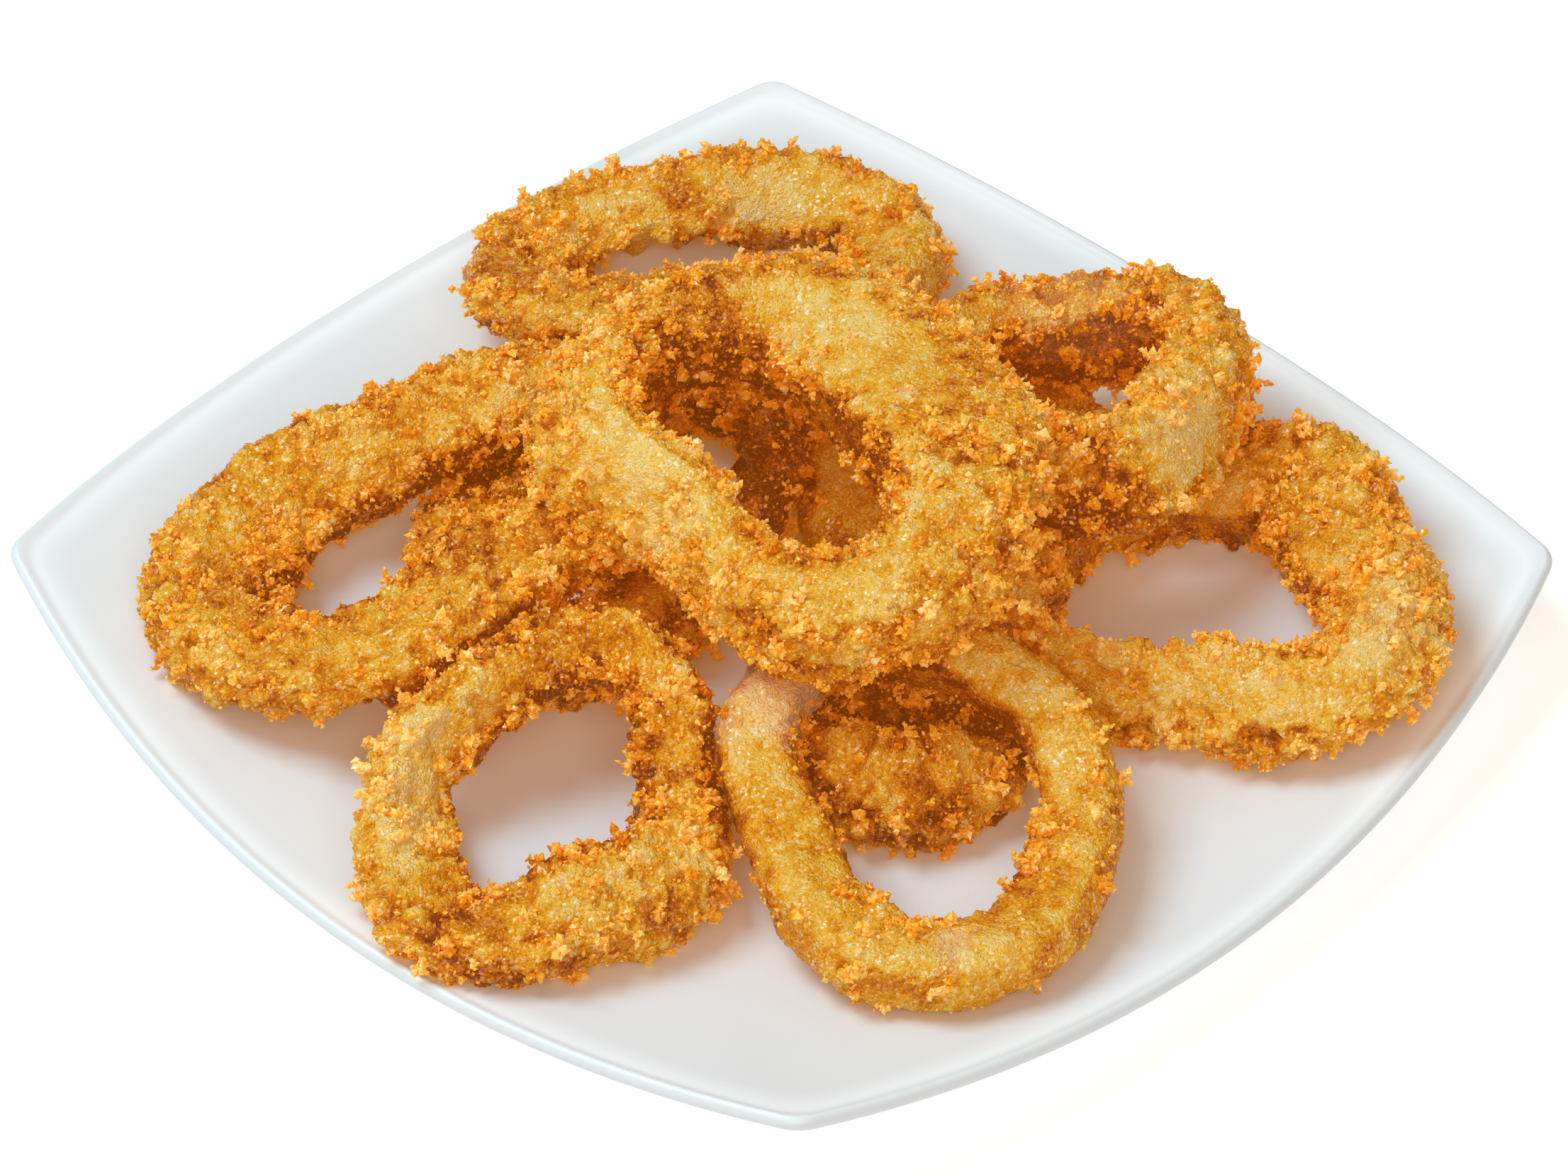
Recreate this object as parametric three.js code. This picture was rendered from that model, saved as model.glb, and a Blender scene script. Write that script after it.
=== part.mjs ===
// Onion rings side: ten crumbed onion rings heaped on a square white plate.
// Millimetres, +Z up. The origin is the middle of the plate's foot, and the
// plate's sides run along X and Y. The heap is set out as seen across the
// plate's front corner, so its own X runs from the left corner to the right
// corner and its own Y from the front corner to the back one.

import * as THREE from "three";

const DEG = Math.PI / 180;
const QUARTER = Math.PI / 2;

// ---- Plate -----------------------------------------------------------------

const MID_SIDE = 120.5;        // centre to the middle of a side
const SIDE_RADIUS = 302;       // each side bows outward on this radius
const CORNER_RADIUS = 7;       // rounding of the four corners
const CORNER_REACH = 145;      // centre to where two sides would meet
const RIM_HEIGHT = 14;         // lip above the table at the middle of a side
const CORNER_LIFT = 10.3;      // how much higher the lip is at a corner
const FLOOR_HEIGHT = 4.5;      // top of the flat well
const WELL_SHARE = 0.42;       // flat well, as a share of the outline
const RISE_POWER = 1.7;        // how slowly the well curls up to the lip
const LIP_THICKNESS = 3;       // rounded edge
const WALL_THICKNESS = 4.2;    // china near the foot
const UNDER_RECESS = 1.2;      // hollow inside the foot
const SIDE_STEPS = 10;         // straight facets along one side
const CORNER_STEPS = 4;        // straight facets round one corner

const RISE_SHARES = [WELL_SHARE, 0.52, 0.62, 0.72, 0.81, 0.89, 0.95];
const LIP_TURNS = [90, 45, 0, -45, -90];
const UNDER_SHARES = [0.94, 0.84, 0.72, 0.6];
const FOOT_OUTER = 0.53;
const FOOT_INNER = 0.49;
const RECESS_SHARE = 0.47;

// ---- Rings -----------------------------------------------------------------
// at       middle of the ring in the heap's own X, Y and Z (table at Z = 0)
// lean     [degrees off level, heading its top face leans towards]
// radius   mean radius of the middle of the band
// oval     [share of the radius, heading of the long axis]
// egg      [share of the radius, heading of a bulge]: three bulges
// square   [share of the radius, heading of a bulge]: four bulges
// wave     [mm up and down, heading of a crest]: saddle bend of the ring
// wall     band thickness, outside to inside
// tall     band height, face to face
// flare    degrees that the band opens upward
// wallSwing, tallSwing, flareSwing   [amount, heading where it is greatest]

const RINGS = [
  {
    name: "back_left_ring",
    at: [-13.7, 86.4, 22.8],
    lean: [9, 95],
    radius: 28.6,
    oval: [0.34, 10],
    egg: [0.04, 90],
    square: [0.01, 25],
    wave: [1.4, 75],
    wall: 18.5,
    tall: 12.9,
    flare: -24.5,
    wallSwing: [0.06, 110],
    tallSwing: [0.1, 345],
    flareSwing: [19.6, 265],
  },
  {
    name: "top_ring",
    at: [-0.8, -1.2, 48.9],
    lean: [5.6, 223],
    radius: 34.1,
    oval: [0.22, 128],
    egg: [0.07, 53],
    square: [0.03, 84],
    wave: [2.2, 166],
    wall: 20.3,
    tall: 24.4,
    flare: -12.3,
    wallSwing: [0.52, 18],
    tallSwing: [0.15, 142],
    flareSwing: [21.7, 318],
  },
  {
    name: "left_long_ring",
    at: [-67.5, 5.5, 24.3],
    lean: [7.9, 167],
    radius: 32.9,
    oval: [0.35, 37],
    egg: [0.07, 32],
    square: [0.03, 37],
    wave: [1.7, 106],
    wall: 23,
    tall: 12.4,
    flare: -15.6,
    wallSwing: [0.15, 215],
    tallSwing: [0.11, 79],
    flareSwing: [20.7, 308],
  },
  {
    name: "back_right_ring",
    at: [55, 33, 35.5],
    lean: [8, 105],
    radius: 26.5,
    egg: [0.1, 35],
    wave: [1.5, 175],
    wall: 13,
    tall: 21,
    flare: -26,
    wallSwing: [0.15, 20],
    tallSwing: [0.15, 20],
    flareSwing: [18, 30],
  },
  {
    name: "right_ring",
    at: [79, -5.5, 20],
    lean: [10, 165],
    radius: 32,
    oval: [0.09, 140],
    egg: [0.11, 70],
    square: [0.06, 45],
    wave: [3, 175],
    wall: 18.5,
    tall: 18,
    flare: -21,
    wallSwing: [0.4, 40],
    tallSwing: [0.15, 240],
    flareSwing: [18, 130],
  },
  {
    name: "front_left_ring",
    at: [-43.1, -63.3, 20.3],
    lean: [9.6, 295],
    radius: 27.2,
    oval: [0.17, 65],
    egg: [0.04, 82],
    square: [0.08, 65],
    wave: [3, 95],
    wall: 17,
    tall: 13.1,
    flare: -17.5,
    wallSwing: [0.21, 239],
    tallSwing: [0.2, 31],
    flareSwing: [20.1, 329],
  },
  {
    name: "front_right_ring",
    at: [24, -65, 22.5],
    lean: [8, 270],
    radius: 32,
    oval: [0.14, 105],
    egg: [0.06, 25],
    wave: [1.5, 95],
    wall: 15,
    tall: 12,
    flare: -12,
    wallSwing: [0.1, 280],
    flareSwing: [16, 150],
  },
  {
    name: "small_front_ring",
    at: [20, -40, 12.8],
    lean: [3, 280],
    radius: 16.5,
    oval: [0.07, 155],
    egg: [0.07, 25],
    wall: 13,
    tall: 13,
    wallSwing: [0.1, 20],
  },
  {
    name: "low_left_ring",
    at: [-32.5, 19, 14.2],
    lean: [5, 185],
    radius: 29.1,
    oval: [0.31, 55],
    egg: [0.03, 65],
    square: [0.06, 70],
    wave: [2.5, 25],
    wall: 16,
    tall: 13,
    flare: -3,
    wallSwing: [0.2, 280],
    tallSwing: [0.1, 310],
    flareSwing: [9, 230],
  },
  {
    name: "low_right_ring",
    at: [31, 39, 12.3],
    lean: [2, 175],
    radius: 21.3,
    oval: [0.15, 40],
    egg: [0.14, 15],
    square: [0.02, 25],
    wall: 15,
    tall: 12,
    wallSwing: [0.1, 150],
  },
];

const HEAP_TURN = 45 * DEG;    // from the heap's own axes to the plate's
const SECTION_POINTS = 12;
const SECTION_POWER = 2.8;     // 2 is an ellipse, larger is squarer
const STATION_SPACING = 5.8;   // along the middle of the band
const LUMP = 0.35;             // shallow unevenness of the crumb coat
const BROAD_LUMPS = 4;         // round the ring
const FINE_LUMPS = 9;
const BROAD_SHARE = 0.6;       // of the unevenness, the rest being fine
const FINE_PHASE = 1.7;        // radians that the fine lumps shift from ring to ring
const HEADING_STEP = 0.02;     // radians either side, for the band's own heading

const CRUMB_COLOURS = [0xd9902f, 0xe3a545, 0xdf9c3a, 0xd68d32, 0xdd9836];

// ---- Closed surface from loops of points -----------------------------------

/** Joins equal loops of points into one closed body: a closed band, or a dish with fans at its ends. */
function bodyFromLoops(loops, isBand) {
  const count = loops[0].length;
  const vertices = loops.flat();
  const triangles = [];
  const pairs = isBand ? loops.length : loops.length - 1;
  for (let row = 0; row < pairs; row += 1) {
    const here = row * count;
    const next = ((row + 1) % loops.length) * count;
    for (let i = 0; i < count; i += 1) {
      const j = (i + 1) % count;
      triangles.push(here + i, next + j, here + j);
      triangles.push(here + i, next + i, next + j);
    }
  }
  if (!isBand) {
    addFan(vertices, triangles, 0, count, false);
    addFan(vertices, triangles, (loops.length - 1) * count, count, true);
  }
  const geometry = new THREE.BufferGeometry();
  const positions = vertices.flatMap((point) => [point.x, point.y, point.z]);
  geometry.setAttribute("position", new THREE.Float32BufferAttribute(positions, 3));
  geometry.setIndex(triangles);
  geometry.computeVertexNormals();
  return geometry;
}

/** Closes one loop with triangles to a point at its middle. */
function addFan(vertices, triangles, start, count, isLast) {
  const middle = new THREE.Vector3();
  for (let i = 0; i < count; i += 1) {
    middle.addScaledVector(vertices[start + i], 1 / count);
  }
  const hub = vertices.push(middle) - 1;
  for (let i = 0; i < count; i += 1) {
    const j = (i + 1) % count;
    if (isLast) {
      triangles.push(start + j, start + i, hub);
    } else {
      triangles.push(start + i, start + j, hub);
    }
  }
}

// ---- Plate -----------------------------------------------------------------

/** Points of an arc, its first end included and its last end left to the next arc. */
function arcPoints(centre, radius, from, to, steps) {
  return Array.from({ length: steps }, (_, i) => {
    const angle = from + ((to - from) * i) / steps;
    return new THREE.Vector2(
      centre.x + radius * Math.cos(angle),
      centre.y + radius * Math.sin(angle),
    );
  });
}

/** The plate's outline: four bowed sides joined by rounded corners. */
function plateOutline() {
  const sideCentre = MID_SIDE - SIDE_RADIUS;
  const half = sideCentre * Math.SQRT1_2;
  const reach = SIDE_RADIUS - CORNER_RADIUS;
  const cornerCentre = half + Math.sqrt(reach * reach - half * half);
  const blend = Math.PI / 4 - Math.atan2(-half, cornerCentre - half);
  const points = [];
  for (let quarter = 0; quarter < 4; quarter += 1) {
    const turn = quarter * QUARTER;
    const side = new THREE.Vector2(sideCentre, 0).rotateAround(new THREE.Vector2(), turn);
    const corner = new THREE.Vector2(cornerCentre, 0)
      .rotateAround(new THREE.Vector2(), turn + Math.PI / 4);
    points.push(...arcPoints(side, SIDE_RADIUS, turn - blend, turn + blend, SIDE_STEPS));
    points.push(...arcPoints(corner, CORNER_RADIUS, turn + blend, turn + QUARTER - blend, CORNER_STEPS));
  }
  return points;
}

/** Height of the lip above the table where the outline is this far from the centre. */
function lipHeight(distance) {
  const share = Math.max(0, (distance - MID_SIDE) / (CORNER_REACH - MID_SIDE));
  return RIM_HEIGHT + CORNER_LIFT * share;
}

/** Height of the eating surface at a share of the way out to the lip. */
function topHeight(share, lip) {
  const rise = Math.max(0, (share - WELL_SHARE) / (1 - WELL_SHARE));
  return FLOOR_HEIGHT + (lip - FLOOR_HEIGHT) * rise ** RISE_POWER;
}

/** China thickness, from the foot out to the lip. */
function thicknessAt(share) {
  const out = (share - FOOT_OUTER) / (1 - FOOT_OUTER);
  return WALL_THICKNESS + (LIP_THICKNESS - WALL_THICKNESS) * out;
}

/** One loop of the plate: the outline drawn in to a share, at a height of its own. */
function plateLoop(outline, share, heightAt) {
  return outline.map((point) => {
    const height = heightAt(lipHeight(point.length()));
    return new THREE.Vector3(point.x * share, point.y * share, height);
  });
}

/** The loop on the rounded lip at one angle round its edge. */
function lipLoop(outline, turn) {
  const half = LIP_THICKNESS / 2;
  return outline.map((point) => {
    const distance = point.length();
    const share = (distance - half + half * Math.cos(turn)) / distance;
    const height = lipHeight(distance) - half + half * Math.sin(turn);
    return new THREE.Vector3(point.x * share, point.y * share, height);
  });
}

/** The square plate, from the middle of its well over the lip to its foot. */
function makePlate() {
  const outline = plateOutline();
  const top = RISE_SHARES.map((share) => (
    plateLoop(outline, share, (lip) => topHeight(share, lip))
  ));
  const lip = LIP_TURNS.map((degrees) => lipLoop(outline, degrees * DEG));
  const under = UNDER_SHARES.map((share) => (
    plateLoop(outline, share, (lipZ) => topHeight(share, lipZ) - thicknessAt(share))
  ));
  const foot = [
    plateLoop(outline, FOOT_OUTER, () => 0),
    plateLoop(outline, FOOT_INNER, () => 0),
    plateLoop(outline, RECESS_SHARE, () => UNDER_RECESS),
  ];
  const geometry = bodyFromLoops([...top, ...lip, ...under, ...foot], false);
  const china = new THREE.MeshStandardMaterial({ color: 0xe9ecec, roughness: 0.16, metalness: 0 });
  const plate = new THREE.Mesh(geometry, china);
  plate.name = "plate";
  return plate;
}

// ---- Rings -----------------------------------------------------------------

/** A swing round the ring, greatest at each of `lobes` headings. */
function swing([amount, heading] = [0, 0], lobes, angle) {
  return amount * Math.cos(lobes * (angle - heading * DEG));
}

/** Turns a level ring so that its top face leans towards a heading. */
function leanTurn([tilt, heading]) {
  const face = new THREE.Vector3(
    Math.tan(tilt * DEG) * Math.cos(heading * DEG),
    Math.tan(tilt * DEG) * Math.sin(heading * DEG),
    1,
  ).normalize();
  const across = new THREE.Vector3(1, 0, 0).addScaledVector(face, -face.x).normalize();
  const along = new THREE.Vector3().crossVectors(face, across);
  return new THREE.Quaternion().setFromRotationMatrix(
    new THREE.Matrix4().makeBasis(across, along, face),
  );
}

/** The middle of the band at an angle round the ring. */
function bandCentre(ring, angle) {
  const bulge = swing(ring.oval, 2, angle) + swing(ring.egg, 3, angle) + swing(ring.square, 4, angle);
  const radius = ring.radius * (1 + bulge);
  return new THREE.Vector3(
    radius * Math.cos(angle),
    radius * Math.sin(angle),
    swing(ring.wave, 2, angle),
  );
}

/** Which way the band's thickness and height point at an angle round the ring. */
function bandAxes(ring, angle) {
  const heading = bandCentre(ring, angle + HEADING_STEP)
    .sub(bandCentre(ring, angle - HEADING_STEP))
    .normalize();
  const outward = new THREE.Vector3().crossVectors(heading, new THREE.Vector3(0, 0, 1)).normalize();
  const upward = new THREE.Vector3().crossVectors(outward, heading);
  const flare = ((ring.flare ?? 0) + swing(ring.flareSwing, 1, angle)) * DEG;
  return {
    wall: outward.clone().multiplyScalar(Math.cos(flare)).addScaledVector(upward, -Math.sin(flare)),
    height: upward.clone().multiplyScalar(Math.cos(flare)).addScaledVector(outward, Math.sin(flare)),
  };
}

/** Where a turn round the section falls, from -1 to 1, on a square with rounded corners. */
function roundedSquare(value) {
  return Math.sign(value) * Math.abs(value) ** (2 / SECTION_POWER);
}

/** Shallow lumps of the coat, in millimetres, different on every ring. */
function lumpAt(angle, turn, seed) {
  const broad = Math.sin(BROAD_LUMPS * angle + seed) * Math.cos(turn - angle);
  const fine = Math.sin(FINE_LUMPS * angle + 2 * turn + FINE_PHASE * seed);
  return LUMP * (BROAD_SHARE * broad + (1 - BROAD_SHARE) * fine);
}

/** One loop of points round the band's section. */
function sectionLoop(ring, angle, seed) {
  const centre = bandCentre(ring, angle);
  const { wall, height } = bandAxes(ring, angle);
  const halfWall = (ring.wall / 2) * (1 + swing(ring.wallSwing, 1, angle));
  const halfTall = (ring.tall / 2) * (1 + swing(ring.tallSwing, 1, angle));
  return Array.from({ length: SECTION_POINTS }, (_, i) => {
    const turn = ((i + 0.5) / SECTION_POINTS) * 2 * Math.PI;
    const lump = lumpAt(angle, turn, seed);
    return centre.clone()
      .addScaledVector(wall, roundedSquare(Math.cos(turn)) * (halfWall + lump))
      .addScaledVector(height, roundedSquare(Math.sin(turn)) * (halfTall + lump));
  });
}

/** One crumbed onion ring: a closed band of rounded-square section, level until it is leaned. */
function makeRing(ring, index) {
  const stations = Math.round((2 * Math.PI * ring.radius) / STATION_SPACING);
  const loops = Array.from({ length: stations }, (_, i) => (
    sectionLoop(ring, (2 * Math.PI * i) / stations, index)
  ));
  const crumb = new THREE.MeshStandardMaterial({
    color: CRUMB_COLOURS[index % CRUMB_COLOURS.length],
    roughness: 0.6,
    metalness: 0,
  });
  const mesh = new THREE.Mesh(bodyFromLoops(loops, true), crumb);
  mesh.name = ring.name;
  mesh.position.set(...ring.at);
  mesh.quaternion.copy(leanTurn(ring.lean));
  return mesh;
}

/** All the rings, set out in the heap's own axes and turned to the plate's. */
function makeHeap() {
  const heap = new THREE.Group();
  RINGS.forEach((ring, index) => heap.add(makeRing(ring, index)));
  heap.rotation.z = HEAP_TURN;
  return heap;
}

// ---- The side dish ---------------------------------------------------------

const dish = new THREE.Group();
dish.add(makePlate(), makeHeap());

export default dish;
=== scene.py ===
"""Looks of an onion rings side: ten crumbed, fried onion rings heaped on a square white plate.

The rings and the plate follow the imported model. Each ring is a batter surface with crumb relief
worked out with numpy, and loose crumbs stand on it as small meshes. Sizes are in millimetres unless
a name says otherwise, and become metres only when a mesh is made.
"""

import logging
from dataclasses import dataclass, field
from enum import Enum, IntEnum

import bpy
import numpy as np
from mathutils import Matrix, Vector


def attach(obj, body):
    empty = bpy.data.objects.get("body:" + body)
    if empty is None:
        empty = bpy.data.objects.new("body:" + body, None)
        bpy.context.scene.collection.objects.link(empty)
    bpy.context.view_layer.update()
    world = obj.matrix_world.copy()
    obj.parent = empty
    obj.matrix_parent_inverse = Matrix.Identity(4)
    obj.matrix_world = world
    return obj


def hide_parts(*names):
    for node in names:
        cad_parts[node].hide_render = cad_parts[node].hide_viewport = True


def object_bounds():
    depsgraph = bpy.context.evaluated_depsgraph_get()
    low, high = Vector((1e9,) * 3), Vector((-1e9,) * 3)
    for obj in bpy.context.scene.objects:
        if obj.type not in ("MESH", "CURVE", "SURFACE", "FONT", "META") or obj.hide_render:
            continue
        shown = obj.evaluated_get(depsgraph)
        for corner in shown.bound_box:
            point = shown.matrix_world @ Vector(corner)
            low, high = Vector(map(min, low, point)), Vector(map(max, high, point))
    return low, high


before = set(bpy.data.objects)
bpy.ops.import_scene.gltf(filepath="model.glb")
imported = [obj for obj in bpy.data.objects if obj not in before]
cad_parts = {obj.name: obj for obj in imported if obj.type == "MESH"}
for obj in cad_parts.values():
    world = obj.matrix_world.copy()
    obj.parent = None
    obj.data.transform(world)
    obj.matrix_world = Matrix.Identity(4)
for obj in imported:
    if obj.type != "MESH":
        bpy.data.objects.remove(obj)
CAD_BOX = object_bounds()

log = logging.getLogger("onion_rings_side")

Array = np.ndarray
Colour = tuple[float, float, float]

MM = 0.001
MM2_IN_CM2 = 100.0
BODY = "root"
HEAP_TURN = np.radians(45)  # from the heap's own axes to the plate's


# ---- Random values and noise that belong to places in space ------------------------------------

HASH_FACTORS = (374761393, 668265263, 2246822519)
HASH_SALT = 3266489917
HASH_MIX = 1274126177
WORD = 2.0**32


def hashed(cells: Array, salt: int) -> Array:
    """Random values that belong to whole-number cells.

    Args:
        cells: Whole numbers, three to a cell, on the last axis.
        salt: Any whole number; another salt gives other values.

    Returns:
        One value from 0 to 1 for each cell.
    """
    words = cells.astype(np.int64).astype(np.uint32)
    mixed = np.full(words.shape[:-1], (salt * HASH_SALT) % 2**32, np.uint32)
    for axis, factor in enumerate(HASH_FACTORS):
        mixed ^= words[..., axis] * np.uint32(factor)
        mixed ^= mixed >> np.uint32(15)
        mixed *= np.uint32(HASH_MIX)
    mixed ^= mixed >> np.uint32(13)
    mixed *= np.uint32(HASH_MIX)
    mixed ^= mixed >> np.uint32(16)
    return mixed / WORD


def eased(value: Array, low: float, high: float) -> Array:
    """Rises smoothly from 0 at low to 1 at high, flat beyond both: 3t^2 - 2t^3."""
    share = np.clip((value - low) / (high - low), 0.0, 1.0)
    return share * share * (3.0 - 2.0 * share)


def kept_below(heights: Array, limit: float, room: float) -> Array:
    """Lowers heights smoothly so that none reaches a limit.

    Up to room below the limit nothing changes. A gain g above that becomes room (1 - e^(-g / room)),
    so higher points stay higher and relief is pressed together, never cut flat.

    Args:
        heights: Heights of points.
        limit: Height that none reaches.
        room: Height below the limit over which they are pressed together.

    Returns:
        The new heights.
    """
    gain = np.maximum(heights - (limit - room), 0.0)
    return heights - gain + room * (1.0 - np.exp(-gain / room))


def value_noise(points: Array, grain: float, salt: int) -> Array:
    """Soft noise: a smooth blend of the random values at the eight corners of each cubic cell.

    Args:
        points: Places in millimetres, three numbers each on the last axis.
        grain: Side of a cell in millimetres.
        salt: Picks the pattern.

    Returns:
        One value from -1 to 1 for each place.
    """
    scaled = points / grain
    cell = np.floor(scaled)
    part = scaled - cell
    blend = part * part * (3.0 - 2.0 * part)
    total = np.zeros(points.shape[:-1])
    for corner in np.ndindex(2, 2, 2):
        offset = np.array(corner)
        weight = np.prod(np.where(offset == 1, blend, 1.0 - blend), axis=-1)
        total += weight * hashed(cell + offset, salt)
    return total * 2.0 - 1.0


def layered_noise(points: Array, grain: float, salt: int, layers: int = 3) -> Array:
    """Noise of several grains, each half as coarse and half as strong as the one before."""
    total = np.zeros(points.shape[:-1])
    for layer in range(layers):
        total += value_noise(points, grain / 2**layer, salt + layer) / 2**layer
    return total / (2.0 - 0.5 ** (layers - 1))


def knob_relief(points: Array, spacing: float, salt: int) -> tuple[Array, Array]:
    """Relief of crowded round knobs, such as a coat of swollen crumbs.

    One knob sits in each cubic cell. Its height at distance d from its middle is that of a half
    ball, its size times the square root of 1 - (d / reach)^2. The highest knob shows.

    Args:
        points: Places in millimetres, three numbers each on the last axis.
        spacing: Side of a cell in millimetres.
        salt: Picks the pattern.

    Returns:
        The relief, from 0 to 1, and a random value for the knob that shows at each place.
    """
    scaled = points / spacing
    home = np.floor(scaled)
    best = np.zeros(points.shape[:-1])
    tint = np.full(points.shape[:-1], 0.5)
    for step in np.ndindex(3, 3, 3):
        cell = home + np.array(step) - 1.0
        random = np.stack([hashed(cell, salt + k) for k in range(5)], axis=-1)
        away = scaled - cell - random[..., :3]
        reach = 0.5 + 0.35 * random[..., 3]
        fall = np.sum(away * away, axis=-1) / reach**2
        height = (0.4 + 0.6 * random[..., 3]) * np.sqrt(np.clip(1.0 - fall, 0.0, 1.0))
        higher = height > best
        best = np.where(higher, height, best)
        tint = np.where(higher, random[..., 4], tint)
    return best, tint


# ---- Meshes from arrays ------------------------------------------------------------------------


def make_mesh(name: str, points: Array, faces: Array, smooth: bool) -> bpy.types.Object:
    """Makes an object at the origin from arrays.

    Args:
        name: The object's name.
        points: Vertices in millimetres.
        faces: Vertex numbers, one row for each face, all with the same number of corners.
        smooth: Whether the faces shade smoothly.

    Returns:
        The object, linked to the scene.
    """
    mesh = bpy.data.meshes.new(name)
    mesh.vertices.add(len(points))
    mesh.vertices.foreach_set("co", (points * MM).astype(np.float32).ravel())
    corners = faces.shape[1]
    mesh.loops.add(faces.size)
    mesh.loops.foreach_set("vertex_index", faces.astype(np.int32).ravel())
    mesh.polygons.add(len(faces))
    mesh.polygons.foreach_set("loop_start", np.arange(0, faces.size, corners, dtype=np.int32))
    mesh.polygons.foreach_set("use_smooth", np.full(len(faces), smooth))
    mesh.update(calc_edges=True)
    piece = bpy.data.objects.new(name, mesh)
    bpy.context.scene.collection.objects.link(piece)
    return piece


def add_values(piece: bpy.types.Object, name: str, values: Array) -> None:
    """Stores one number for each vertex as an attribute that materials can read."""
    attribute = piece.data.attributes.new(name, "FLOAT", "POINT")
    attribute.data.foreach_set("value", values.astype(np.float32).ravel())


def grid_faces(rows: int, columns: int, rows_wrap: bool) -> Array:
    """Four-sided faces of a grid whose columns close on themselves.

    Args:
        rows: Loops of points.
        columns: Points in a loop.
        rows_wrap: Whether the last loop joins the first.

    Returns:
        Four vertex numbers for each face.
    """
    row = np.arange(rows if rows_wrap else rows - 1)[:, None]
    column = np.arange(columns)[None, :]
    beyond = (row + 1) % rows
    across = (column + 1) % columns
    quads = [
        row * columns + column,
        beyond * columns + column,
        beyond * columns + across,
        row * columns + across,
    ]
    return np.stack(np.broadcast_arrays(*quads), axis=-1).reshape(-1, 4)


def grid_normals(points: Array) -> Array:
    """Outward normals of a closed band: the cross product of its central differences."""
    around = np.roll(points, -1, axis=0) - np.roll(points, 1, axis=0)
    across = np.roll(points, -1, axis=1) - np.roll(points, 1, axis=1)
    normals = np.cross(around, across)
    return normals / np.linalg.norm(normals, axis=-1, keepdims=True)


# ---- Finishes ----------------------------------------------------------------------------------


def set_inputs(node: bpy.types.Node, values: dict[str, object]) -> None:
    """Sets inputs of a node by name."""
    for name, value in values.items():
        node.inputs[name].default_value = value


def opaque(colour: Colour) -> tuple[float, float, float, float]:
    """A colour with its alpha."""
    return (*colour, 1.0)


class Nodes:
    """A node tree with short calls for what the finishes use."""

    def __init__(self, tree: bpy.types.NodeTree) -> None:
        """Takes the tree that the calls add to."""
        self.tree = tree

    def add(self, kind: str, **settings: object) -> bpy.types.Node:
        """Adds a node and sets its properties."""
        node = self.tree.nodes.new(kind)
        for name, value in settings.items():
            setattr(node, name, value)
        return node

    def put(self, source: object, target: bpy.types.NodeSocket) -> None:
        """Links an output to an input, or sets the input to a constant."""
        if isinstance(source, bpy.types.NodeSocket):
            self.tree.links.new(source, target)
        else:
            target.default_value = source

    def maths(self, operation: str, *terms: object, clamp: bool = False) -> bpy.types.NodeSocket:
        """A Math node's result."""
        node = self.add("ShaderNodeMath", operation=operation, use_clamp=clamp)
        for index, term in enumerate(terms):
            self.put(term, node.inputs[index])
        return node.outputs[0]

    def noise(self, grain: float, detail: float) -> bpy.types.NodeSocket:
        """Noise from 0 to 1 whose grain is given in millimetres."""
        node = self.add("ShaderNodeTexNoise")
        set_inputs(node, {"Scale": 1.0 / (grain * MM), "Detail": detail})
        self.put(self.place(), node.inputs["Vector"])
        return node.outputs["Fac"]

    def bump(self, height: object, strength: float, depth: float) -> bpy.types.NodeSocket:
        """A normal from a height; the depth is in millimetres."""
        node = self.add("ShaderNodeBump")
        set_inputs(node, {"Strength": strength, "Distance": depth * MM})
        self.put(height, node.inputs["Height"])
        return node.outputs["Normal"]

    def attribute(self, name: str) -> bpy.types.NodeSocket:
        """A number that the piece stores for each vertex."""
        return self.add("ShaderNodeAttribute", attribute_name=name).outputs["Fac"]

    def place(self) -> bpy.types.NodeSocket:
        """The place on the piece, in metres."""
        return self.add("ShaderNodeTexCoord").outputs["Object"]

    def ramp(self, value: object, stops: list[tuple[float, Colour]]) -> bpy.types.NodeSocket:
        """Colours blended along a value."""
        node = self.add("ShaderNodeValToRGB")
        elements = node.color_ramp.elements
        for index, (position, colour) in enumerate(stops):
            element = elements[index] if index < len(elements) else elements.new(position)
            element.position = position
            element.color = opaque(colour)
        self.put(value, node.inputs["Fac"])
        return node.outputs["Color"]

    def mix(self, share: object, first: object, second: object) -> bpy.types.NodeSocket:
        """A blend of two colours."""
        node = self.add("ShaderNodeMix", data_type="RGBA")
        self.put(share, node.inputs[0])
        self.put(first, node.inputs[6])
        self.put(second, node.inputs[7])
        return node.outputs[2]


def new_material(name: str) -> tuple[bpy.types.Material, Nodes, bpy.types.Node]:
    """A new material, its nodes and its shader."""
    material = bpy.data.materials.new(name)
    material.use_nodes = True
    return material, Nodes(material.node_tree), material.node_tree.nodes["Principled BSDF"]


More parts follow.
